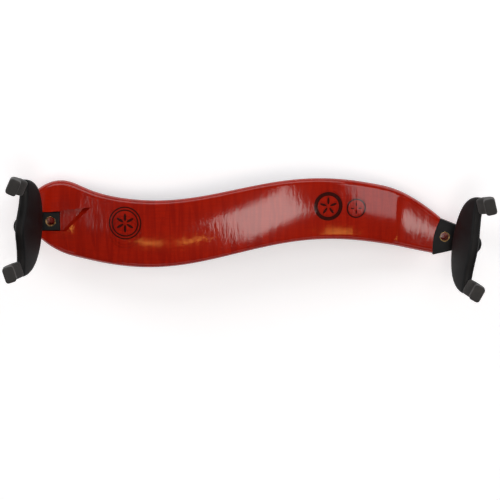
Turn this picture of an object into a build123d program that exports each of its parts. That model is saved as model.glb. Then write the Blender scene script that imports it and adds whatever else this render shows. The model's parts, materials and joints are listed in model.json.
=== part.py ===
from build123d import *

import math
import os

# Violin shoulder rest: an arched, S-shaped maple plate, a foam pad under it and a screw-in fork at each end.
#
# Millimetres. +X runs along the plate from its broad end (left) to its narrow end (right), +Y goes across it
# (far edge) and +Z goes up towards the violin. It is designed about the middle of the span between the two
# posts, with the underside of the pad at Z = 0, and is written out standing on the origin.

# ---- driving sizes -------------------------------------------------------------------------------

# Plate, in plan
POST_SPAN = 213.4  # between the two posts
BROAD_WIDTH = 34.5  # across the plate where the broad end starts to round off
NARROW_WIDTH = 28.8  # across the plate where the narrow end starts to taper
SWAY = 6.3  # how far the centre line swings to each side
SWAY_HALF_WAVES = 2.53  # half waves of the S between the posts
SWAY_SHIFT = -6.9  # where the S crosses the middle
LOBE_RISE = 2.5  # of the swelling on the broad end's far edge
LOBE_FROM_POST = 16.2
LOBE_LENGTH = 12.4
NOSE_REACH = 2.0  # of the rounded end of the plate, past the left post
NOSE_LENGTH = 24.0  # of the elliptical rounding
TAPER_START = 41.0  # inboard of the right post, where the far edge turns in
TAPER_CURVE = 0.0108  # of that turn, per mm
# Plate, from the side
PLATE_EDGE_END = 6.6  # thickness of the plate's edge at its ends
PLATE_EDGE_MID = 4.8  # and at the crest of the arch
CROWN_RADIUS = 110.0  # of the domed top, across the plate
ARCH_RISE = 13.0
CREST_X = 7.1
LEFT_FLANGE = 21.8  # from the left post to where the arch starts
RIGHT_FLANGE = 33.6  # and from the right post
BEND_SOFTNESS = 0.35  # of the bend between flange and arch
TONGUE_THICKNESS = 2.6  # wood left under each end block
TONGUE_RELIEF = 0.2  # of the tongues' undersides

# Pad
PAD_THICKNESS = 8.5
PAD_OVERLAP = 1.2  # how far its blank reaches into the plate, which trims it
PAD_INSET = 3.6  # from the plate's edges
PAD_CORNER = 2.4
PAD_LEFT_GAP = 15.7  # from the left post to the pad
PAD_RIGHT_GAP = 17.7
PAD_END_LENGTH = 9.0  # of its rounded ends

# End blocks, with the used hole at the post and a spare hole inboard of it
HOLE_SPACING = 10.0
LEFT_BLOCK_OFFSET = -2.0  # of the holes from the centre line of the S
RIGHT_BLOCK_OFFSET = -4.2
BLOCK_WIDTH = 9.2
BLOCK_HEIGHT = 4.3
BLOCK_CLEARANCE = 0.1
BLOCK_EDGE = 0.5
LEFT_BLOCK_REACH = 4.5  # from the spare hole to the inner end
RIGHT_BLOCK_REACH = 5.6
RIGHT_BLOCK_YAW = -4.5
FLARE_WIDTH = 18.7  # of the right block at its inner edge
SEAT_RADIUS = 28.0  # of that inner edge
SEAT_SHIFT = -3.3  # of the centre of that edge, across the block

# Scoop that runs out of the left block's pocket
SCOOP_DEPTH = 2.3
SCOOP_START = 1.4  # from the block to the foot of its end wall, on the near side
SCOOP_ANGLE = 43.0  # of its end wall from square across
SCOOP_SLOPE = 55.0  # of its end wall from level
SCOOP_FLARE = 8.0  # of its far side

# Threads and screws
THREAD_RADIUS = 2.0
RUNNING_CLEARANCE = 0.05
INSERT_WALL = 0.75  # round its bore
INSERT_LENGTH = 5.4
INSERT_CHAMFER = 0.2
LIP_THICKNESS = 0.6  # of the block over each insert
LIP_CLEARANCE = 0.4  # of the lip's hole round a thread
SCREW_RADIUS = 1.0
SCREW_CLEARANCE = 0.15
SCREW_HEAD_RADIUS = 1.9
SCREW_HEAD_HEIGHT = 1.0
SCREW_BITE = 3.2  # into the block
SPOT_FACE_DEPTH = 0.4  # into the plate's underside, under each head
SPOT_FACE_MARGIN = 0.4  # round each head
SCREW_RECESS_SPAN = 2.3  # across the cross recess
SCREW_RECESS_WIDTH = 0.45
SCREW_RECESS_DEPTH = 0.6
FLARE_SCREW_X = -2.2  # from the spare hole, outboard
FLARE_SCREW_Y = 5.6

# Posts
POST_EXPOSED = 9.0  # between block and fork
POST_BELOW_TONGUE = 1.5
POST_HEAD_STEP = 1.1  # of the head's radius over the thread's
POST_HEAD_HEIGHT = 2.0
POST_HEAD_Z = 5.0  # above the underside of the fork's boss
POST_END_CHAMFER = 0.5

# Forks, about the post, with +X outward and Z = 0 at the underside of the boss
LEFT_FORK_YAW = 176.3
RIGHT_FORK_YAW = -7.3
LEFT_CREST = 1.8  # rise of the web's top edge between the fingers
RIGHT_CREST = 1.0
BOSS_RADIUS = 5.2
BOSS_HEIGHT = 11.0
BOSS_EDGE = 0.8
WEB_HALF_WIDTH = 23.4
WEB_DEPTH = 15.8  # of its elliptical lower edge
WEB_TOP = 16.8
WEB_FOOT = (-5.9, 1.0)  # X and Z of the web's mid surface at its foot
WEB_HEAD = (4.2, 21.6)
WEB_BULGE = 1.4
WEB_THICKNESS = 4.2
WEB_EDGE = 1.3
CREST_HALF_WIDTH = 16.5

# Fingers and their rubber sleeves
FINGER_Y = 19.9
FINGER_X = 1.6
FINGER_SPLAY = 21.0
FINGER_ROOT_Z = 13.5
FINGER_LEAN = 1.5  # of its foot, back in along the web
FINGER_STEP_Z = 18.6
FINGER_STEP = 2.8  # out, and as much up
FINGER_RISE = 6.6
FINGER_HOOK = 0.9  # how far the tip leans back in
FINGER_BEND = 3.4
FINGER_WIDTH = 5.4
FINGER_THICKNESS = 3.0
SLEEVE_WALL = 1.15
SLEEVE_CORNER = 1.4
SLEEVE_START_Z = 17.3
SLEEVE_TIP = 1.3

# Stamped marks: their place along the plate and off its centre line, ring radii and width, and petals
STAMP_DEPTH = 0.35
BROAD_MARK = {"x": -59.7, "offset": 0.6, "rings": (8.0, 6.6), "band": 0.6, "petals": 6, "petal_length": 3.6}
MIDDLE_MARK = {"x": 38.9, "offset": 2.4, "rings": (6.9,), "band": 1.7, "petals": 5, "petal_length": 3.2}
SMALL_MARK = {"x": 52.6, "offset": 2.4, "rings": (4.7,), "band": 0.6, "petals": 4, "petal_length": 1.8}
PETAL_GAP = 1.0  # between the petals' inner ends and the middle
PETAL_SLIMNESS = 0.34  # width over length

FAR = 60.0  # beyond any part of the plate

# Cross sections of the lofts: how far apart they stand, and where the rounded ends stop short of a point
FINE_PITCH = 2.5  # over the flanges and the bends
BEND_REACH = 14.0  # inboard of each bend
COARSE_PITCH = 5.0  # over the arch
NOSE_SECTIONS = 7
NOSE_LAST = 0.82  # of a quarter turn round the nose's ellipse
PAD_END_SECTIONS = 6
PAD_END_LAST = 0.75

# ---- derived places ------------------------------------------------------------------------------

LEFT_POST_X = -POST_SPAN / 2
RIGHT_POST_X = POST_SPAN / 2
NOSE_END_X = LEFT_POST_X - NOSE_REACH
NOSE_START_X = NOSE_END_X + NOSE_LENGTH
TAPER_START_X = RIGHT_POST_X - TAPER_START
LOBE_X = LEFT_POST_X + LOBE_FROM_POST
LEFT_BEND_X = LEFT_POST_X + LEFT_FLANGE
RIGHT_BEND_X = RIGHT_POST_X - RIGHT_FLANGE
FLOOR_Z = PAD_THICKNESS + TONGUE_THICKNESS
BLOCK_TOP_Z = FLOOR_Z + BLOCK_HEIGHT
BOSS_Z = BLOCK_TOP_Z + POST_EXPOSED
BORE_RADIUS = THREAD_RADIUS + RUNNING_CLEARANCE
INSERT_RADIUS = BORE_RADIUS + INSERT_WALL
POST_HEAD_RADIUS = THREAD_RADIUS + POST_HEAD_STEP
SLEEVE_WIDTH = FINGER_WIDTH + 2 * SLEEVE_WALL
SLEEVE_THICKNESS = FINGER_THICKNESS + 2 * SLEEVE_WALL


def centre_line(x):
    """Y of the S-shaped centre line."""
    return SWAY * math.sin(math.pi * SWAY_HALF_WAVES * (x - SWAY_SHIFT) / POST_SPAN)


def rounding(x, full, length):
    """Share of the full width left at x by an elliptical end that starts at full and is length long."""
    return math.sqrt(max(0.0, 1 - ((x - full) / length) ** 2))


def plate_edges(x):
    """Y of the plate's near and far edges."""
    along = (x - NOSE_START_X) / (TAPER_START_X - NOSE_START_X)
    half = (BROAD_WIDTH + (NARROW_WIDTH - BROAD_WIDTH) * along) / 2
    if x < NOSE_START_X:
        half *= rounding(x, NOSE_START_X, NOSE_LENGTH)
    lobe = LOBE_RISE * math.exp(-(((x - LOBE_X) / LOBE_LENGTH) ** 2))
    taper = TAPER_CURVE * max(0.0, x - TAPER_START_X) ** 2
    return centre_line(x) - half, centre_line(x) + half + lobe - taper


def arch(x):
    """How far the underside of the plate has risen above its ends, from 0 to ARCH_RISE."""
    half_length = (LEFT_BEND_X if x < CREST_X else RIGHT_BEND_X) - CREST_X
    height = ARCH_RISE * (1 - ((x - CREST_X) / half_length) ** 2)
    return BEND_SOFTNESS * math.log1p(math.exp(height / BEND_SOFTNESS))


def plate_section(x):
    """Sketch of the plate across X = x: flat below, domed above, with full round edges."""
    near, far = plate_edges(x)
    edge = PLATE_EDGE_END + (PLATE_EDGE_MID - PLATE_EDGE_END) * arch(x) / ARCH_RISE
    radius = edge / 2
    bottom = PAD_THICKNESS + arch(x)
    dome = ((far - near) / 2 - radius) ** 2 / (2 * CROWN_RADIUS)
    with BuildSketch(Plane((x, 0, 0), x_dir=(0, 1, 0), z_dir=(1, 0, 0))) as section:
        with BuildLine():
            base = Line((near + radius, bottom), (far - radius, bottom))
            far_edge = ThreePointArc(base @ 1, (far, bottom + radius), (far - radius, bottom + edge))
            top_mid = ((near + far) / 2, bottom + edge + dome)
            top = ThreePointArc(far_edge @ 1, top_mid, (near + radius, bottom + edge))
            ThreePointArc(top @ 1, (near, bottom + radius), base @ 0)
        make_face()
    return section.sketch


def pad_section(x, full_start, full_end):
    """Sketch of the pad across X = x, which reaches a little way up into the plate that trims it."""
    near, far = plate_edges(x)
    middle = (near + far) / 2
    half = (far - near) / 2 - PAD_INSET
    half *= rounding(min(x, full_start), full_start, PAD_END_LENGTH)
    half *= rounding(max(x, full_end), full_end, PAD_END_LENGTH)
    bottom = arch(x)
    top = bottom + PAD_THICKNESS + PAD_OVERLAP
    with BuildSketch(Plane((x, 0, 0), x_dir=(0, 1, 0), z_dir=(1, 0, 0))) as section:
        with BuildLine():
            FilletPolyline(
                (middle + half, top),
                (middle + half, bottom),
                (middle - half, bottom),
                (middle - half, top),
                radius=[PAD_CORNER, PAD_CORNER],
            )
            Line((middle - half, top), (middle + half, top))
        make_face()
    return section.sketch


def steps(start, end, pitch):
    """Evenly spaced places from start up to end, about pitch apart, without end itself."""
    count = max(1, round((end - start) / pitch))
    return [start + (end - start) * i / count for i in range(count)]


def end_steps(full, tip, last, count):
    """Places that close up from the start of an elliptical end (full) to its tip, and stop short of it."""
    return [full + (tip - full) * math.sin(last * math.pi / 2 * i / count) for i in range(1, count + 1)]


def nose_steps():
    """Places along the plate's rounded nose, from its tip in."""
    return end_steps(NOSE_START_X, NOSE_END_X, NOSE_LAST, NOSE_SECTIONS)[::-1]


def bend_steps(start, end):
    """Places from start to end: close together up to a little past each bend, wider apart over the arch."""
    left, right = LEFT_BEND_X + BEND_REACH, RIGHT_BEND_X - BEND_REACH
    places = steps(start, left, FINE_PITCH) + steps(left, right, COARSE_PITCH)
    return places + steps(right, end, FINE_PITCH) + [end]


def seat_plane(side):
    """Plane of the floor of a block's seat, with its origin on the spare hole and +X out to the post."""
    if side == "left":
        spare_x, offset_y, yaw = LEFT_POST_X + HOLE_SPACING, LEFT_BLOCK_OFFSET, 180.0
    else:
        spare_x, offset_y, yaw = RIGHT_POST_X - HOLE_SPACING, RIGHT_BLOCK_OFFSET, RIGHT_BLOCK_YAW
    outward = Vector(1, 0, 0).rotate(Axis.Z, yaw)
    return Plane((spare_x, centre_line(spare_x) + offset_y, FLOOR_Z), x_dir=outward, z_dir=(0, 0, 1))


def hole_plane(side, hole, level):
    """Level plane at a height, with its origin on the axis of the spare hole or of the post."""
    centre = seat_plane(side).from_local_coords(Vector(HOLE_SPACING if hole == "post" else 0, 0, 0))
    return Plane((centre.X, centre.Y, level))


def screw_head_plane(side):
    """The seat's plane moved down to where the screw heads bear on the tongue."""
    return seat_plane(side).offset(SPOT_FACE_DEPTH - TONGUE_THICKNESS)


def fork_plane(side):
    """Plane of the underside of a fork's boss, with its origin on the post and +X out through the fork."""
    outward = Vector(1, 0, 0).rotate(Axis.Z, LEFT_FORK_YAW if side == "left" else RIGHT_FORK_YAW)
    return Plane(hole_plane(side, "post", BOSS_Z).origin, x_dir=outward, z_dir=(0, 0, 1))


def upright(plane, x, y, turn):
    """Upright plane on a point of a level one, with +X level and turned from that plane's, and +Y up."""
    level = plane.x_dir.rotate(Axis.Z, turn)
    return Plane(plane.from_local_coords(Vector(x, y, 0)), x_dir=level, z_dir=level.cross(plane.z_dir))


# ---- outlines, drawn into the sketch that is open ------------------------------------------------


def draw_left_block(clearance=0.0):
    """Straight block, round at the post."""
    length = HOLE_SPACING + LEFT_BLOCK_REACH + clearance
    with Locations((HOLE_SPACING - length / 2, 0)):
        Rectangle(length, BLOCK_WIDTH + 2 * clearance)
    with Locations((HOLE_SPACING, 0)):
        Circle(BLOCK_WIDTH / 2 + clearance)


def draw_seat_disc(mode=Mode.ADD):
    """Disc whose near side is the curved inner edge of the right block."""
    with Locations((SEAT_RADIUS - RIGHT_BLOCK_REACH, SEAT_SHIFT)):
        Circle(SEAT_RADIUS, mode=mode)


def draw_flare(mode=Mode.ADD):
    """The right block's sides, from a round tip at the post to a wide end past its curved inner edge."""
    wide_x = -2 * RIGHT_BLOCK_REACH
    tip_radius = BLOCK_WIDTH / 2
    slope = math.atan2(FLARE_WIDTH / 2 - tip_radius, HOLE_SPACING + RIGHT_BLOCK_REACH)
    touch_x = HOLE_SPACING + tip_radius * math.sin(slope)
    touch_y = tip_radius * math.cos(slope)
    wide_y = touch_y + (touch_x - wide_x) * math.tan(slope)
    with BuildLine() as outline:
        sides = Polyline((touch_x, touch_y), (wide_x, wide_y), (wide_x, -wide_y), (touch_x, -touch_y))
        ThreePointArc(sides @ 1, (HOLE_SPACING + tip_radius, 0), sides @ 0)
    make_face(outline.edges(), mode=mode)


def draw_right_block():
    """The flare, cut off along its curved inner edge."""
    draw_flare()
    draw_seat_disc(mode=Mode.INTERSECT)


def draw_mark(mark):
    """Rings round a rosette."""
    for radius in mark["rings"]:
        Circle(radius)
        Circle(radius - mark["band"], mode=Mode.SUBTRACT)
    length = mark["petal_length"]
    with PolarLocations(PETAL_GAP + length / 2, mark["petals"], start_angle=90):
        Ellipse(length / 2, PETAL_SLIMNESS * length / 2)


DRAW_BLOCK = {"left": draw_left_block, "right": draw_right_block}
SCREWS = {
    "left": {"left_block_screw": (HOLE_SPACING / 2, 0)},
    "right": {
        "right_near_block_screw": (FLARE_SCREW_X, -FLARE_SCREW_Y),
        "right_far_block_screw": (FLARE_SCREW_X, FLARE_SCREW_Y),
    },
}
HOLES = [(0, 0), (HOLE_SPACING, 0)]

# ---- plate ---------------------------------------------------------------------------------------

with BuildPart() as blank:  # the whole plate before it is stamped and cut
    for x in nose_steps() + bend_steps(NOSE_START_X, RIGHT_POST_X - HOLE_SPACING):
        add(plate_section(x))
    loft()

with BuildPart() as stamping:  # what the three stamps press out of it
    for mark in (BROAD_MARK, MIDDLE_MARK, SMALL_MARK):
        level = PAD_THICKNESS + arch(mark["x"]) + PLATE_EDGE_MID / 2
        with BuildSketch(Plane((mark["x"], centre_line(mark["x"]) + mark["offset"], level))):
            draw_mark(mark)
        extrude(amount=FAR)
    add(blank.part.moved(Location((0, 0, -STAMP_DEPTH))), mode=Mode.SUBTRACT)

# the hollow beyond the left pocket: a level floor that ends in a slanting, sloping wall
with BuildPart() as scoop:
    surface = PLATE_EDGE_END - TONGUE_THICKNESS + (BROAD_WIDTH / 2) ** 2 / (2 * CROWN_RADIUS)
    seat = seat_plane("left").offset(surface - SCOOP_DEPTH)
    with BuildSketch(upright(seat, -LEFT_BLOCK_REACH - SCOOP_START, BLOCK_WIDTH / 2, -SCOOP_ANGLE)):
        with BuildLine():
            wall_reach = FAR / math.tan(math.radians(SCOOP_SLOPE))
            Polyline((0, 0), (FAR, 0), (FAR, FAR), (-wall_reach, FAR), close=True)
        make_face()
    extrude(amount=FAR, both=True)
    with BuildSketch(seat):
        with BuildLine():
            side_y = BLOCK_WIDTH / 2 + BLOCK_CLEARANCE
            far_x = -LEFT_BLOCK_REACH - FAR / 2
            flare = FAR / 2 * math.tan(math.radians(SCOOP_FLARE))
            Polyline((0, side_y), (far_x, side_y), (far_x, -side_y - flare), (0, -side_y), close=True)
        make_face()
    extrude(amount=FAR, mode=Mode.INTERSECT)

with BuildPart() as plate:
    add(blank.part)
    add(stamping.part, mode=Mode.SUBTRACT)
    # right end: nothing is left beside the block, and a tongue under it
    with BuildSketch(seat_plane("right")):
        draw_seat_disc()
    extrude(amount=FAR, mode=Mode.SUBTRACT)
    with BuildSketch(seat_plane("right")):
        draw_seat_disc()
        draw_flare(mode=Mode.SUBTRACT)
    extrude(amount=-FAR, mode=Mode.SUBTRACT)
    # left end: a pocket for the block and the scoop beyond it
    with BuildSketch(seat_plane("left")):
        draw_left_block(BLOCK_CLEARANCE)
    extrude(amount=FAR, mode=Mode.SUBTRACT)
    add(scoop.part, mode=Mode.SUBTRACT)
    # tongues that reach out under the posts, with holes for the inserts and screws; the spare one is blind
    for side in ("left", "right"):
        with BuildSketch(seat_plane(side)):
            DRAW_BLOCK[side]()
        extrude(amount=TONGUE_RELIEF - TONGUE_THICKNESS)
        with BuildSketch(hole_plane(side, "spare", FLOOR_Z)):
            Circle(INSERT_RADIUS)
        extrude(amount=BLOCK_HEIGHT - LIP_THICKNESS - INSERT_LENGTH, mode=Mode.SUBTRACT)
        with BuildSketch(seat_plane(side)):
            with Locations((HOLE_SPACING, 0)):
                Circle(INSERT_RADIUS)
            with Locations(*SCREWS[side].values()):
                Circle(SCREW_RADIUS + SCREW_CLEARANCE)
        extrude(amount=-PAD_THICKNESS, mode=Mode.SUBTRACT)
        with BuildSketch(screw_head_plane(side)):
            with Locations(*SCREWS[side].values()):
                Circle(SCREW_HEAD_RADIUS + SPOT_FACE_MARGIN)
        extrude(amount=-PAD_THICKNESS, mode=Mode.SUBTRACT)

# ---- pad -----------------------------------------------------------------------------------------

with BuildPart() as pad:
    start, end = LEFT_POST_X + PAD_LEFT_GAP, RIGHT_POST_X - PAD_RIGHT_GAP
    full_start, full_end = start + PAD_END_LENGTH, end - PAD_END_LENGTH
    near_end = end_steps(full_start, start, PAD_END_LAST, PAD_END_SECTIONS)[::-1]
    far_end = end_steps(full_end, end, PAD_END_LAST, PAD_END_SECTIONS)
    for x in near_end + bend_steps(full_start, full_end) + far_end:
        add(pad_section(x, full_start, full_end))
    loft()
    add(blank.part, mode=Mode.SUBTRACT)


# ---- end blocks, inserts, screws and posts -------------------------------------------------------


def make_block(side):
    """Nylon block with two insert holes, each under a thin lip, and blind screw holes."""
    with BuildPart() as block:
        with BuildSketch(seat_plane(side)):
            DRAW_BLOCK[side]()
        extrude(amount=BLOCK_HEIGHT)
        fillet(block.faces().sort_by(Axis.Z)[-1].edges(), BLOCK_EDGE)
        with BuildSketch(seat_plane(side)):
            with Locations(*HOLES):
                Circle(THREAD_RADIUS + LIP_CLEARANCE)
        extrude(amount=BLOCK_HEIGHT, mode=Mode.SUBTRACT)
        with BuildSketch(seat_plane(side)):
            with Locations(*HOLES):
                Circle(INSERT_RADIUS)
        extrude(amount=BLOCK_HEIGHT - LIP_THICKNESS, mode=Mode.SUBTRACT)
        with BuildSketch(seat_plane(side)):
            with Locations(*SCREWS[side].values()):
                Circle(SCREW_RADIUS)
        extrude(amount=SCREW_BITE, mode=Mode.SUBTRACT)
    return block


def make_insert(side, hole):
    """Brass bush whose bore stands for the thread."""
    with BuildPart() as insert:
        with BuildSketch(hole_plane(side, hole, BLOCK_TOP_Z - LIP_THICKNESS)):
            Circle(INSERT_RADIUS)
            Circle(BORE_RADIUS, mode=Mode.SUBTRACT)
        extrude(amount=-INSERT_LENGTH)
        chamfer(insert.edges().filter_by(GeomType.CIRCLE).group_by(SortBy.RADIUS)[0], INSERT_CHAMFER)
    return insert


def make_screw(side, place):
    """Screw driven up through the tongue into a block, with a cross recess."""
    with BuildPart() as screw:
        with BuildSketch(screw_head_plane(side)):
            with Locations(place):
                Circle(SCREW_RADIUS)
        extrude(amount=TONGUE_THICKNESS - SPOT_FACE_DEPTH + SCREW_BITE)
        with BuildSketch(screw_head_plane(side)):
            with Locations(place):
                Circle(SCREW_HEAD_RADIUS)
        extrude(amount=-SCREW_HEAD_HEIGHT)
        fillet(screw.faces().sort_by(Axis.Z)[0].edges(), SCREW_HEAD_HEIGHT / 2)
        with BuildSketch(screw_head_plane(side).offset(-SCREW_HEAD_HEIGHT)):
            with Locations(place):
                Rectangle(SCREW_RECESS_SPAN, SCREW_RECESS_WIDTH)
                Rectangle(SCREW_RECESS_WIDTH, SCREW_RECESS_SPAN)
        extrude(amount=SCREW_RECESS_DEPTH, mode=Mode.SUBTRACT)
    return screw


def make_post(side):
    """Steel screw whose head turns in the fork's boss."""
    head_z = BOSS_Z + POST_HEAD_Z
    foot_z = PAD_THICKNESS - POST_BELOW_TONGUE
    with BuildPart() as post:
        with BuildSketch(hole_plane(side, "post", foot_z)):
            Circle(THREAD_RADIUS)
        extrude(amount=head_z - foot_z)
        chamfer(post.edges().sort_by(Axis.Z)[0], POST_END_CHAMFER)
        with BuildSketch(hole_plane(side, "post", head_z)):
            Circle(POST_HEAD_RADIUS)
        extrude(amount=POST_HEAD_HEIGHT)
    return post


# ---- forks and their rubber sleeves --------------------------------------------------------------


def finger_path(side, hand, start_z, beyond):
    """Line up a finger from a height on its leaning root, out over the step and some way past its tip."""
    lean = FINGER_LEAN * (FINGER_STEP_Z - start_z) / (FINGER_STEP_Z - FINGER_ROOT_Z)
    tip = Vector(-FINGER_HOOK, FINGER_RISE)
    tip += tip.normalized() * beyond
    with BuildLine(upright(fork_plane(side), FINGER_X, hand * FINGER_Y, hand * FINGER_SPLAY)) as path:
        FilletPolyline(
            (-lean, start_z),
            (0, FINGER_STEP_Z),
            (FINGER_STEP, FINGER_STEP_Z + FINGER_STEP),
            (FINGER_STEP + tip.X, FINGER_STEP_Z + FINGER_STEP + tip.Y),
            radius=FINGER_BEND,
        )
    return path.line


def section_plane(side, hand, path):
    """Plane across the start of a finger's path, with +X along the fork."""
    across = upright(fork_plane(side), 0, 0, hand * FINGER_SPLAY).z_dir
    return Plane(path @ 0, x_dir=across, z_dir=path % 0)


def make_finger(side, hand):
    """Flat finger of a fork."""
    path = finger_path(side, hand, FINGER_ROOT_Z, 0)
    with BuildPart() as finger:
        with BuildSketch(section_plane(side, hand, path)):
            Rectangle(FINGER_WIDTH, FINGER_THICKNESS)
        sweep(path=path)
    return finger


def make_fork(side, crest):
    """Crescent web that leans out, with a boss behind it for the post and a finger at each end."""
    level = fork_plane(side)
    fingers = [make_finger(side, hand) for hand in (-1, 1)]
    chord = Vector(WEB_HEAD[0] - WEB_FOOT[0], WEB_HEAD[1] - WEB_FOOT[1])
    in_and_up = Vector(-chord.Y, chord.X).normalized()
    middle = (Vector(*WEB_FOOT) + Vector(*WEB_HEAD)) / 2 + in_and_up * WEB_BULGE
    with BuildPart() as fork:
        with BuildSketch(upright(level, 0, 0, 0)):
            with BuildLine() as mid_surface:
                ThreePointArc(WEB_FOOT, (middle.X, middle.Y), WEB_HEAD)
                offset(amount=WEB_THICKNESS / 2, side=Side.BOTH, mode=Mode.REPLACE)
            make_face()
        extrude(amount=WEB_HALF_WIDTH, both=True)
        with BuildSketch(upright(level, 0, 0, 90)):
            with BuildLine():
                lower = EllipticalCenterArc((0, WEB_TOP), WEB_HALF_WIDTH, WEB_DEPTH, 180, arc_size=180)
                shoulder = Line(lower @ 1, (CREST_HALF_WIDTH, WEB_TOP))
                over = Spline(
                    shoulder @ 1,
                    (0, WEB_TOP + crest),
                    (-CREST_HALF_WIDTH, WEB_TOP),
                    tangents=((-1, 0), (-1, 0)),
                )
                Line(over @ 1, lower @ 0)
            make_face()
        extrude(amount=FAR, both=True, mode=Mode.INTERSECT)
        fillet(fork.edges(), WEB_EDGE)
        # a boss for the post and the fingers
        with BuildSketch(upright(level, 0, 0, 0)):
            with BuildLine():
                Polyline(
                    (0, 0),
                    (BOSS_RADIUS, 0),
                    (BOSS_RADIUS, BOSS_HEIGHT - BOSS_EDGE),
                    (BOSS_RADIUS - BOSS_EDGE, BOSS_HEIGHT),
                    (0, BOSS_HEIGHT),
                    close=True,
                )
            make_face()
        revolve(axis=Axis(level.origin, level.z_dir))
        for finger in fingers:
            add(finger.part)
        # the post's bore and the space that its head turns in
        with BuildSketch(level):
            Circle(BORE_RADIUS)
        extrude(amount=POST_HEAD_Z, mode=Mode.SUBTRACT)
        with BuildSketch(level.offset(POST_HEAD_Z - RUNNING_CLEARANCE)):
            Circle(POST_HEAD_RADIUS + RUNNING_CLEARANCE)
        extrude(amount=POST_HEAD_HEIGHT + 2 * RUNNING_CLEARANCE, mode=Mode.SUBTRACT)
    return fork


def make_sleeve(side, hand):
    """Rubber sleeve pushed over a finger."""
    finger = make_finger(side, hand)
    path = finger_path(side, hand, SLEEVE_START_Z, SLEEVE_TIP)
    with BuildPart() as sleeve:
        with BuildSketch(section_plane(side, hand, path)):
            RectangleRounded(SLEEVE_WIDTH, SLEEVE_THICKNESS, SLEEVE_CORNER)
        sweep(path=path)
        fillet(sleeve.faces().sort_by(Axis.Z)[-1].edges(), SLEEVE_TIP - SLEEVE_WALL / 2)
        add(finger.part, mode=Mode.SUBTRACT)
    return sleeve


# ---- all pieces, stood on the origin and written out ---------------------------------------------

pieces = {
    "plate": plate,
    "foam_pad": pad,
}
for side, crest in (("left", LEFT_CREST), ("right", RIGHT_CREST)):
    pieces[f"{side}_end_block"] = make_block(side)
    for name, place in SCREWS[side].items():
        pieces[name] = make_screw(side, place)
    pieces[f"{side}_insert"] = make_insert(side, "post")
    pieces[f"{side}_spare_insert"] = make_insert(side, "spare")
    pieces[f"{side}_post"] = make_post(side)
    pieces[f"{side}_fork"] = make_fork(side, crest)
    far_hand = -1 if side == "left" else 1
    pieces[f"{side}_near_sleeve"] = make_sleeve(side, -far_hand)
    pieces[f"{side}_far_sleeve"] = make_sleeve(side, far_hand)

boxes = [piece.part.bounding_box() for piece in pieces.values()]
low = Vector(*(min(tuple(box.min)[axis] for box in boxes) for axis in range(3)))
high = Vector(*(max(tuple(box.max)[axis] for box in boxes) for axis in range(3)))
TO_ORIGIN = Location((-(low.X + high.X) / 2, -(low.Y + high.Y) / 2, -low.Z))

os.makedirs("parts", exist_ok=True)
for name, piece in pieces.items():
    piece.part.label = name
    export_step(piece.part.moved(TO_ORIGIN), f"parts/{name}.step")

print("size", high - low, "moved by", TO_ORIGIN.position)
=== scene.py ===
"""Looks of a violin shoulder rest: varnished maple, moulded nylon, rubber, foam, brass and steel.

Metres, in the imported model's frame: +X along the plate to its narrow end, +Y to its far edge, and +Z up.
"""

import json
import math

import bmesh
import bpy
from mathutils import Matrix, Vector


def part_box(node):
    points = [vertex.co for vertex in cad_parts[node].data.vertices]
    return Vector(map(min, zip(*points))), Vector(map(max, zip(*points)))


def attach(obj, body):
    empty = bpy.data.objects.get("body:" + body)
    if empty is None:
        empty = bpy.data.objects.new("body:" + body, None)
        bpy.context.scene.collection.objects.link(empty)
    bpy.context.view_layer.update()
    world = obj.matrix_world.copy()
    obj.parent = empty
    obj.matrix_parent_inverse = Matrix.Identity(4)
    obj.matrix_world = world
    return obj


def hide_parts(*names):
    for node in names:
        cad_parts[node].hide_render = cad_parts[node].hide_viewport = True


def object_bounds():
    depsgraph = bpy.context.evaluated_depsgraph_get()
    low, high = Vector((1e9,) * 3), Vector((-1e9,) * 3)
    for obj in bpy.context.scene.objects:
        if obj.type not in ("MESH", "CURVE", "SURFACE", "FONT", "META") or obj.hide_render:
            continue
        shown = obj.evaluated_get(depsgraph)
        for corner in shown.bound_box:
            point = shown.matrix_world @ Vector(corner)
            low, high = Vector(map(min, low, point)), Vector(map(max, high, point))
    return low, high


MM = 0.001

# ---- sizes and places ------------------------------------------------------------------------------

CAMERA_DISTANCE = 720 * MM
CAMERA_TILT = math.radians(7.5)  # from straight down, towards the far edge
CAMERA_LENS = 105.8  # on a 36 mm sensor
SENSOR = 36.0
AIM_RIGHT = 0.5 * MM  # of the middle of the box
AIM_NEAR = 9.9 * MM  # towards the near edge from it
AIM_HEIGHT = 15.5 * MM
OVER_LEFT = 0.56 * MM  # of the middle of the box: the camera is over the plate's drawing origin
OVER_FAR = 4.99 * MM  # towards the far edge from it
CLIP_START = 0.05
CLIP_END = 20.0

FLOOR_SIZE = 8.0
FLOOR_GAP = 0.2 * MM  # below the pad
WORLD_STRENGTH = 0.05

# Lights: name, place and size in metres, power in watts, and colour
WHITE = (1.0, 1.0, 1.0)
SOFTBOXES = (
    ("left_side", (-1.5, 0.3, 1.1), (1.0, 1.6), 11, WHITE),
    ("right_side", (1.5, 0.3, 1.1), (1.0, 1.6), 11, WHITE),
    ("far_side", (0.0, 1.5, 1.1), (2.0, 0.9), 11, WHITE),
    ("near_side", (0.0, -1.6, 1.3), (2.0, 0.7), 3, WHITE),
    ("overhead", (0.07, -0.11, 1.15), (0.42, 0.36), 2.5, (1.0, 0.94, 0.9)),
)
WARM_LAMPS = ((-0.46, -0.27), (-0.26, -0.27), (0.53, -0.41), (0.63, -0.41))
WARM_LAMP_HEIGHT = 1.15
WARM_LAMP_SIZE = (0.05, 0.045)
WARM_LAMP_POWER = 0.12
WARM = (1.0, 0.42, 0.08)

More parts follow.
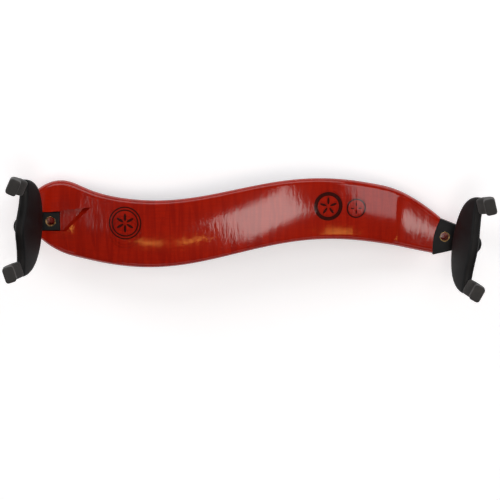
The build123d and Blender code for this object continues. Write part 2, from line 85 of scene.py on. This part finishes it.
THREAD_RADIUS = 2.0 * MM
THREAD_DEPTH = 0.42 * MM
THREAD_PITCH = 0.7 * MM
THREAD_STEPS = 28  # round one turn
THREAD_RUNOUT = 0.8 * MM  # over which the thread fades at the foot
THREAD_PROFILE = ((0.0, 0.0), (0.12, 0.0), (0.44, 1.0), (0.56, 1.0), (0.88, 0.0))  # shares of pitch and depth
POST_HEAD_HEIGHT = 2.0 * MM
HEAD_LOWER_CHAMFER = 0.2 * MM
HEAD_UPPER_CHAMFER = 0.3 * MM
POST_SIDES = 40  # round the core and the head
MERGE_DISTANCE = 0.001 * MM
SHORTEST_EDGE = 0.0005 * MM

FORK_VOXEL = 0.42 * MM
SLEEVE_VOXEL = 0.36 * MM
PAD_VOXEL = 1.1 * MM
FORK_ROUNDS = 5  # of smoothing
SLEEVE_ROUNDS = 4
PAD_ROUNDS = 4
ROUND_STRENGTH = 0.5
PAD_SWELL = 0.3 * MM  # of its whole skin, outwards
PAD_TEXTURE = 0.12 * MM
PAD_TEXTURE_SCALE = 2.4 * MM

# Stamped marks, in millimetres: place from the middle of the box, ring radii and width, and petals
BROAD_MARK = {"x": -60.26, "y": 4.18, "rings": (8.0, 6.6), "band": 0.6, "petals": 6, "petal": 3.6}
MIDDLE_MARK = {"x": 38.34, "y": 12.8, "rings": (6.9,), "band": 1.7, "petals": 5, "petal": 3.2}
SMALL_MARK = {"x": 52.04, "y": 11.5, "rings": (4.7,), "band": 0.6, "petals": 4, "petal": 1.8}
PETAL_GAP = 1.0
PETAL_SLIMNESS = 0.34  # width over length
PETAL_EDGE = (0.9, 1.3)  # where its stain fades, as squared distance over squared radius
RING_SOFTNESS = 0.12  # mm over which the stain fades
STAIN = 0.92  # how far the marks have gone dark

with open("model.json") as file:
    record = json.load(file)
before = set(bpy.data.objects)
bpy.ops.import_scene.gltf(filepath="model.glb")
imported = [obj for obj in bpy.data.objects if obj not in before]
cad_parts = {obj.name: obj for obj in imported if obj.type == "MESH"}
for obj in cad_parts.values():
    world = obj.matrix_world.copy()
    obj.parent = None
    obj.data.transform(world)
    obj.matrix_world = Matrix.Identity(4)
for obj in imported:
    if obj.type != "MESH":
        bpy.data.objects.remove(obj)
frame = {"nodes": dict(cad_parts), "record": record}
cad_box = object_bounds()
nodes = frame["nodes"]
bodies = frame["record"]["behaviour"]["bodies"]
body_of = {node: body for body, members in bodies.items() for node in members}
slot_of = {part["node"]: part["material_slot"] for part in frame["record"]["subparts"]}


# ---- shader helpers --------------------------------------------------------------------------------


class Shader:
    """A material whose nodes are added by short calls."""

    def __init__(self, name):
        self.material = bpy.data.materials.new(name)
        self.material.use_nodes = True
        self.tree = self.material.node_tree
        self.bsdf = self.tree.nodes["Principled BSDF"]
        self.place = self.add("ShaderNodeTexCoord").outputs["Object"]

    def add(self, kind, **settings):
        node = self.tree.nodes.new(kind)
        for key, value in settings.items():
            setattr(node, key, value)
        return node

    def feed(self, socket, value):
        """Links an output to a socket, or sets the socket to a plain value."""
        if isinstance(value, bpy.types.NodeSocket):
            self.tree.links.new(value, socket)
        else:
            socket.default_value = value

    def math(self, operation, a, b=0.0, c=0.0):
        node = self.add("ShaderNodeMath", operation=operation)
        for socket, value in zip(node.inputs, (a, b, c)):
            self.feed(socket, value)
        return node.outputs[0]

    def stretched(self, x, y, z):
        """Object coordinates in metres, multiplied along each axis."""
        node = self.add("ShaderNodeMapping")
        self.feed(node.inputs["Vector"], self.place)
        node.inputs["Scale"].default_value = (x, y, z)
        return node.outputs[0]

    def noise(self, place, detail=3.0, roughness=0.5, distortion=0.0):
        node = self.add("ShaderNodeTexNoise")
        self.feed(node.inputs["Vector"], place)
        node.inputs["Scale"].default_value = 1.0
        node.inputs["Detail"].default_value = detail
        node.inputs["Roughness"].default_value = roughness
        node.inputs["Distortion"].default_value = distortion
        return node.outputs["Fac"]

    def cells(self, scale):
        node = self.add("ShaderNodeTexVoronoi")
        self.feed(node.inputs["Vector"], self.place)
        node.inputs["Scale"].default_value = scale
        return node.outputs["Distance"]

    def spread(self, value, low, high, to_low=0.0, to_high=1.0):
        """Maps low..high to to_low..to_high, smoothly and no further."""
        node = self.add("ShaderNodeMapRange", interpolation_type="SMOOTHSTEP")
        for socket, number in zip(node.inputs, (value, low, high, to_low, to_high)):
            self.feed(socket, number)
        return node.outputs[0]

    def mix(self, share, a, b):
        node = self.add("ShaderNodeMix", data_type="RGBA")
        self.feed(node.inputs[0], share)
        self.feed(node.inputs[6], (*a, 1.0) if isinstance(a, tuple) else a)
        self.feed(node.inputs[7], (*b, 1.0) if isinstance(b, tuple) else b)
        return node.outputs[2]

    def bump(self, height, distance, strength=1.0, after=None):
        node = self.add("ShaderNodeBump")
        self.feed(node.inputs["Height"], height)
        node.inputs["Distance"].default_value = distance
        node.inputs["Strength"].default_value = strength
        if after is not None:
            self.feed(node.inputs["Normal"], after)
        return node.outputs[0]

    def surface(self, **values):
        """Feeds the surface's sockets, whose names are given with _ for a space."""
        for key, value in values.items():
            self.feed(self.bsdf.inputs[key.replace("_", " ")], value)
        return self.material


def stamped(shader, mark):
    """1 in a mark's rings and petals, and 0 outside them."""
    where = shader.add("ShaderNodeSeparateXYZ")
    shader.feed(where.inputs[0], shader.place)
    x = shader.math("MULTIPLY_ADD", where.outputs[0], 1 / MM, -mark["x"])
    y = shader.math("MULTIPLY_ADD", where.outputs[1], 1 / MM, -mark["y"])
    square = shader.math("ADD", shader.math("MULTIPLY", x, x), shader.math("MULTIPLY", y, y))
    away = shader.math("SQRT", square)
    share = 0.0
    for radius in mark["rings"]:
        off = shader.math("ABSOLUTE", shader.math("SUBTRACT", away, radius - mark["band"] / 2))
        ring = shader.spread(off, mark["band"] / 2, mark["band"] / 2 + RING_SOFTNESS, 1.0, 0.0)
        share = shader.math("MAXIMUM", share, ring)
    sector = 2 * math.pi / mark["petals"]
    turn = shader.math("SUBTRACT", shader.math("ARCTAN2", y, x), math.pi / 2 - sector / 2)
    turn = shader.math("SUBTRACT", shader.math("FLOORED_MODULO", turn, sector), sector / 2)
    out = shader.math("MULTIPLY", away, shader.math("COSINE", turn))
    side = shader.math("MULTIPLY", away, shader.math("SINE", turn))
    half = mark["petal"] / 2
    out = shader.math("DIVIDE", shader.math("SUBTRACT", out, PETAL_GAP + half), half)
    side = shader.math("DIVIDE", side, half * PETAL_SLIMNESS)
    reach = shader.math("ADD", shader.math("MULTIPLY", out, out), shader.math("MULTIPLY", side, side))
    return shader.math("MAXIMUM", share, shader.spread(reach, *PETAL_EDGE, 1.0, 0.0))


# ---- materials -------------------------------------------------------------------------------------


def varnished_maple():
    """Flamed maple under a deep red-brown varnish, with stamped marks that have taken the stain dark."""
    s = Shader("varnished_maple")
    grain = s.noise(s.stretched(60, 1100, 900), detail=5, roughness=0.6)
    pores = s.noise(s.stretched(260, 4200, 3600), detail=2)
    flame = s.noise(s.stretched(520, 45, 45), detail=2, roughness=0.45, distortion=0.8)
    cloud = s.noise(s.stretched(16, 26, 26), detail=2)
    colour = s.mix(s.spread(flame, 0.32, 0.68), (0.300, 0.0058, 0.0005), (0.400, 0.0105, 0.0009))
    colour = s.mix(s.spread(grain, 0.35, 0.75, 0.0, 0.4), colour, (0.240, 0.0045, 0.0006))
    colour = s.mix(s.spread(cloud, 0.35, 0.7, 0.0, 0.5), colour, (0.420, 0.0125, 0.0009))
    colour = s.mix(s.spread(pores, 0.6, 0.75, 0.0, 0.3), colour, (0.12, 0.004, 0.001))
    pressed = 0.0
    for mark in (BROAD_MARK, MIDDLE_MARK, SMALL_MARK):
        pressed = s.math("MAXIMUM", pressed, stamped(s, mark))
    colour = s.mix(s.math("MULTIPLY", pressed, STAIN), colour, (0.016, 0.0022, 0.001))
    relief = s.bump(flame, 0.05 * MM, 0.5)
    relief = s.bump(grain, 0.02 * MM, 0.5, relief)
    relief = s.bump(pores, 0.008 * MM, 0.6, relief)
    return s.surface(
        Base_Color=colour,
        Roughness=s.spread(grain, 0.3, 0.8, 0.34, 0.5),
        Normal=relief,
        Coat_Weight=1.0,
        Coat_Roughness=0.1,
        Coat_IOR=1.5,
        Coat_Normal=s.bump(s.noise(s.stretched(640, 150, 150), detail=3, roughness=0.6), 0.055 * MM, 1.0),
        Specular_IOR_Level=0.02,
    )


def black_nylon():
    """Moulded nylon: satin, with a fine spark-eroded grain and faint handling marks."""
    s = Shader("black_nylon")
    grain = s.noise(s.stretched(5200, 5200, 5200), detail=2)
    rub = s.noise(s.stretched(160, 160, 60), detail=4, roughness=0.65)
    colour = s.mix(s.spread(rub, 0.4, 0.75), (0.0030, 0.0031, 0.0036), (0.0070, 0.0070, 0.0076))
    return s.surface(
        Base_Color=colour,
        Roughness=s.spread(rub, 0.3, 0.7, 0.36, 0.5),
        Normal=s.bump(grain, 0.012 * MM, 0.7),
        Specular_IOR_Level=0.18,
    )


def rubber():
    """Soft rubber: matt and slightly dusty, with a fine skin."""
    s = Shader("rubber")
    skin = s.noise(s.stretched(3600, 3600, 3600), detail=3, roughness=0.6)
    dust = s.noise(s.stretched(240, 240, 240), detail=4, roughness=0.6)
    colour = s.mix(s.spread(dust, 0.4, 0.7), (0.026, 0.0245, 0.0235), (0.042, 0.039, 0.037))
    return s.surface(
        Base_Color=colour,
        Roughness=s.spread(dust, 0.3, 0.7, 0.6, 0.78),
        Normal=s.bump(skin, 0.03 * MM, 0.8),
        Specular_IOR_Level=0.3,
        Sheen_Weight=0.1,
        Sheen_Roughness=0.5,
    )


def foam():
    """Closed-cell foam with a cut skin of tiny open cells, whose pits are painted darker as shade."""
    s = Shader("foam")
    cells = s.cells(1700)
    worn = s.noise(s.stretched(60, 60, 60), detail=4)
    pit_depth_and_shade = s.spread(cells, 0.1, 0.55)
    # Darker in the cells' pits: painted shade in the hollows, laid on the foam's own dark grey
    colour = s.mix(pit_depth_and_shade, (0.012, 0.012, 0.013), (0.035, 0.035, 0.038))
    colour = s.mix(s.spread(worn, 0.5, 0.8, 0.0, 0.5), colour, (0.055, 0.054, 0.055))
    return s.surface(
        Base_Color=colour, Roughness=0.92, Normal=s.bump(pit_depth_and_shade, 0.18 * MM, 0.9), Specular_IOR_Level=0.25
    )


def metal(name, base, dull, roughness, rings):
    """Turned metal: fine tool rings along the axis, and patches that have dulled."""
    s = Shader(name)
    tool = s.noise(s.stretched(80, 80, rings), detail=3)
    patch = s.noise(s.stretched(420, 420, 420), detail=4)
    return s.surface(
        Base_Color=s.mix(s.spread(patch, 0.45, 0.75), base, dull),
        Metallic=1.0,
        Roughness=s.spread(patch, 0.3, 0.7, roughness, roughness + 0.16),
        Normal=s.bump(tool, 0.01 * MM, 0.6),
    )


MATERIALS = {
    "varnished_maple": varnished_maple(),
    "black_nylon": black_nylon(),
    "rubber": rubber(),
    "foam": foam(),
    "brass": metal("brass", (0.56, 0.36, 0.15), (0.30, 0.17, 0.07), 0.24, 9000),
    "steel": metal("steel", (0.52, 0.52, 0.53), (0.33, 0.33, 0.35), 0.22, 7000),
}


# ---- pieces ----------------------------------------------------------------------------------------


def finished(piece, node):
    """Gives a new piece its material, body and slot, in place of a CAD node."""
    piece.data.materials.clear()
    piece.data.materials.append(MATERIALS[slot_of[node]])
    for face in piece.data.polygons:
        face.use_smooth = True
    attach(piece, body_of[node])
    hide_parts(node)
    return piece


def applied(piece):
    """Replaces a piece's mesh by what its modifiers make of it."""
    seen = piece.evaluated_get(bpy.context.evaluated_depsgraph_get())
    mesh = bpy.data.meshes.new_from_object(seen)
    piece.modifiers.clear()
    piece.data = mesh
    return piece


def copied(node, name):
    """A new object with a copy of a CAD node's mesh."""
    piece = bpy.data.objects.new(name, nodes[node].data.copy())
    bpy.context.scene.collection.objects.link(piece)
    return piece


def blend(piece, voxel, rounds):
    """Adds an even remesh and some smoothing, which round a piece's edges and inner corners."""
    remesh = piece.modifiers.new("remesh", "REMESH")
    remesh.mode = "VOXEL"
    remesh.voxel_size = voxel
    smooth = piece.modifiers.new("blend", "SMOOTH")
    smooth.factor = ROUND_STRENGTH
    smooth.iterations = rounds


def moulded(node, name, voxel, rounds):
    """A moulded piece: the CAD solid with its creases and inner corners blended as a mould leaves them."""
    piece = copied(node, name)
    blend(piece, voxel, rounds)
    return finished(applied(piece), node)


def threaded_post(node, name):
    """A post with a real helical thread, a chamfered foot and its head."""
    low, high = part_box(node)
    axis = ((low + high) / 2).xy.to_3d()
    head_radius = (high.x - low.x) / 2
    head_z = high.z - POST_HEAD_HEIGHT
    bottom = low.z
    turns = (head_z - bottom) / THREAD_PITCH
    mesh = bmesh.new()
    rows = []
    for step in range(int(turns * THREAD_STEPS) + THREAD_STEPS + 1):
        angle = 2 * math.pi * step / THREAD_STEPS
        row = []
        for along, depth in THREAD_PROFILE:
            z = bottom + THREAD_PITCH * (step / THREAD_STEPS + along - 1)
            fade = min(1.0, max(0.0, (z - bottom) / THREAD_RUNOUT))
            radius = THREAD_RADIUS - THREAD_DEPTH * (1 - (1 - depth) * fade)
            z = min(max(z, bottom), head_z)
            point = Vector((radius * math.cos(angle), radius * math.sin(angle), z))
            row.append(mesh.verts.new(axis + point))
        rows.append(row)
    for step in range(len(rows) - 1):
        here, there = rows[step], rows[step + 1]
        for i in range(len(THREAD_PROFILE) - 1):
            mesh.faces.new((here[i], there[i], there[i + 1], here[i + 1]))
        if step + THREAD_STEPS + 1 < len(rows):
            above, beyond = rows[step + THREAD_STEPS], rows[step + THREAD_STEPS + 1]
            mesh.faces.new((here[-1], there[-1], beyond[0], above[0]))
    core = THREAD_RADIUS - THREAD_DEPTH
    outline = (
        (0.0, bottom),
        (core, bottom),
        (core, head_z),
        (head_radius - HEAD_LOWER_CHAMFER, head_z),
        (head_radius, head_z + HEAD_LOWER_CHAMFER),
        (head_radius, high.z - HEAD_UPPER_CHAMFER),
        (head_radius - HEAD_UPPER_CHAMFER, high.z),
        (0.0, high.z),
    )
    spun = [mesh.verts.new(axis + Vector((radius, 0, z))) for radius, z in outline]
    edges = [mesh.edges.new((spun[i], spun[i + 1])) for i in range(len(spun) - 1)]
    full_turn = 2 * math.pi
    bmesh.ops.spin(mesh, geom=spun + edges, cent=axis, axis=(0, 0, 1), angle=full_turn, steps=POST_SIDES)
    bmesh.ops.remove_doubles(mesh, verts=mesh.verts, dist=MERGE_DISTANCE)
    bmesh.ops.dissolve_degenerate(mesh, edges=mesh.edges, dist=SHORTEST_EDGE)
    bmesh.ops.recalc_face_normals(mesh, faces=mesh.faces)
    data = bpy.data.meshes.new(name)
    mesh.to_mesh(data)
    mesh.free()
    piece = bpy.data.objects.new(name, data)
    bpy.context.scene.collection.objects.link(piece)
    return finished(piece, node)


def pad():
    """The foam pad: its edges rounded, its skin swollen and uneven, and none of it below the CAD box."""
    piece = copied("foam_pad", "foam_shoulder_pad")
    blend(piece, PAD_VOXEL, PAD_ROUNDS)
    swell = piece.modifiers.new("swell", "DISPLACE")
    swell.mid_level = 0.0
    swell.strength = PAD_SWELL
    skin = bpy.data.textures.new("foam_skin", "CLOUDS")
    skin.noise_scale = PAD_TEXTURE_SCALE
    uneven = piece.modifiers.new("uneven", "DISPLACE")
    uneven.texture = skin
    uneven.texture_coords = "LOCAL"
    uneven.strength = PAD_TEXTURE
    applied(piece)
    for vertex in piece.data.vertices:
        vertex.co.z = max(vertex.co.z, cad_box[0].z)
    return finished(piece, "foam_pad")


for side in ("left", "right"):
    moulded(f"{side}_fork", f"{side}_moulded_fork", FORK_VOXEL, FORK_ROUNDS)
    moulded(f"{side}_near_sleeve", f"{side}_near_rubber", SLEEVE_VOXEL, SLEEVE_ROUNDS)
    moulded(f"{side}_far_sleeve", f"{side}_far_rubber", SLEEVE_VOXEL, SLEEVE_ROUNDS)
    threaded_post(f"{side}_post", f"{side}_threaded_post")
pad()

for node, cad_piece in nodes.items():
    cad_piece.data.materials.clear()
    cad_piece.data.materials.append(MATERIALS[slot_of[node]])


# ---- studio ----------------------------------------------------------------------------------------


def floor():
    """A plain pale floor under the pad."""
    bpy.ops.mesh.primitive_plane_add(size=FLOOR_SIZE, location=(0, 0, cad_box[0].z - FLOOR_GAP))
    ground = bpy.context.object
    ground.name = "floor"
    s = Shader("floor")
    s.surface(
        Base_Color=(0.94, 0.94, 0.95, 1.0),
        Roughness=0.9,
        Specular_IOR_Level=0.1,
        Emission_Color=(0.97, 0.98, 1.0, 1.0),
        Emission_Strength=0.36,
    )
    ground.data.materials.append(s.material)


def softbox(name, place, size, power, colour):
    """A rectangular light that faces the middle of the frame, at the height that the camera aims at."""
    data = bpy.data.lights.new(name, "AREA")
    data.shape = "RECTANGLE"
    data.size, data.size_y = size
    data.energy = power
    data.color = colour
    light = bpy.data.objects.new(name, data)
    light.location = place
    aim = Vector((0, 0, AIM_HEIGHT)) - light.location
    light.rotation_euler = aim.to_track_quat("-Z", "Y").to_euler()
    bpy.context.scene.collection.objects.link(light)


floor()
for light in SOFTBOXES:
    softbox(*light)
for lamp, (x, y) in enumerate(WARM_LAMPS):
    softbox(f"warm_lamp_{lamp + 1}", (x, y, WARM_LAMP_HEIGHT), WARM_LAMP_SIZE, WARM_LAMP_POWER, WARM)

world = bpy.data.worlds.new("studio")
world.use_nodes = True
world.node_tree.nodes["Background"].inputs["Color"].default_value = (1.0, 1.0, 1.0, 1.0)
world.node_tree.nodes["Background"].inputs["Strength"].default_value = WORLD_STRENGTH
bpy.context.scene.world = world
bpy.context.scene.view_settings.view_transform = "Standard"

middle = (cad_box[0] + cad_box[1]) / 2
target = Vector((middle.x + AIM_RIGHT, middle.y - AIM_NEAR, AIM_HEIGHT))
over = Vector((middle.x - OVER_LEFT, middle.y + OVER_FAR, AIM_HEIGHT))
eye = over + Vector((0, math.sin(CAMERA_TILT), math.cos(CAMERA_TILT))) * CAMERA_DISTANCE
lens = bpy.data.cameras.new("camera")
lens.sensor_width = SENSOR
lens.lens = CAMERA_LENS
lens.clip_start = CLIP_START
lens.clip_end = CLIP_END
camera = bpy.data.objects.new("camera", lens)
level = Vector((1, 0, 0))
back = (eye - target).normalized()
right = (level - level.dot(back) * back).normalized()
turned = Matrix((right, back.cross(right), back)).transposed().to_4x4()
camera.matrix_world = Matrix.Translation(eye) @ turned
bpy.context.scene.collection.objects.link(camera)
bpy.context.scene.camera = camera
